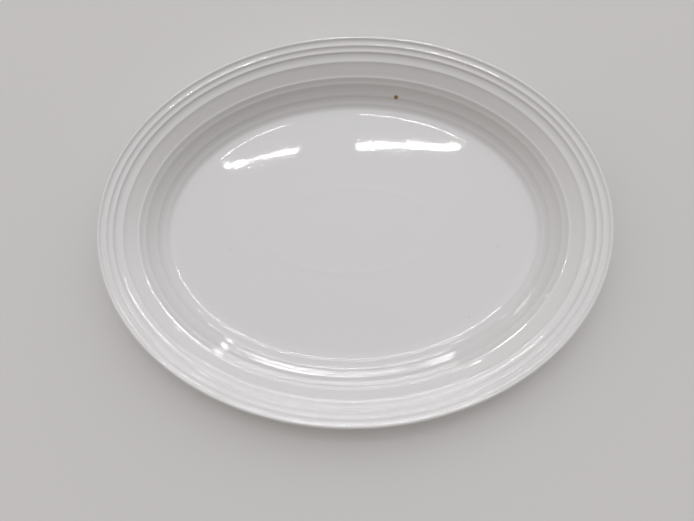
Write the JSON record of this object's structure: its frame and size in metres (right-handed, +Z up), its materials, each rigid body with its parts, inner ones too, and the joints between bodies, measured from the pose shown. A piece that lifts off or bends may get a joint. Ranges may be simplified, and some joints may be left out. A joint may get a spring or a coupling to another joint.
{
  "type": "oval serving platter",
  "caption": "Oval serving platter of glazed white ware, with a stepped and ribbed rim, a flat well and a bare foot ring to stand on.",
  "frame": {"origin": "middle of the plane that the foot ring rests on, under the centre of the oval", "axes": "+X along the platter's length, +Y across its width, +Z up, out of the well"},
  "size_m": [0.41, 0.316, 0.0392],
  "materials": {
    "fired_clay": "bare fired white earthenware, matt and very fine-grained",
    "white_glaze": "glossy warm-white glaze, smooth and slightly wavy"
  },
  "bodies": {
    "root": {"clay_body": "fired_clay", "glaze_face_and_rim": "white_glaze", "glaze_under_well": "white_glaze", "glaze_inside_support_ring": "white_glaze"}
  },
  "joints": []
}
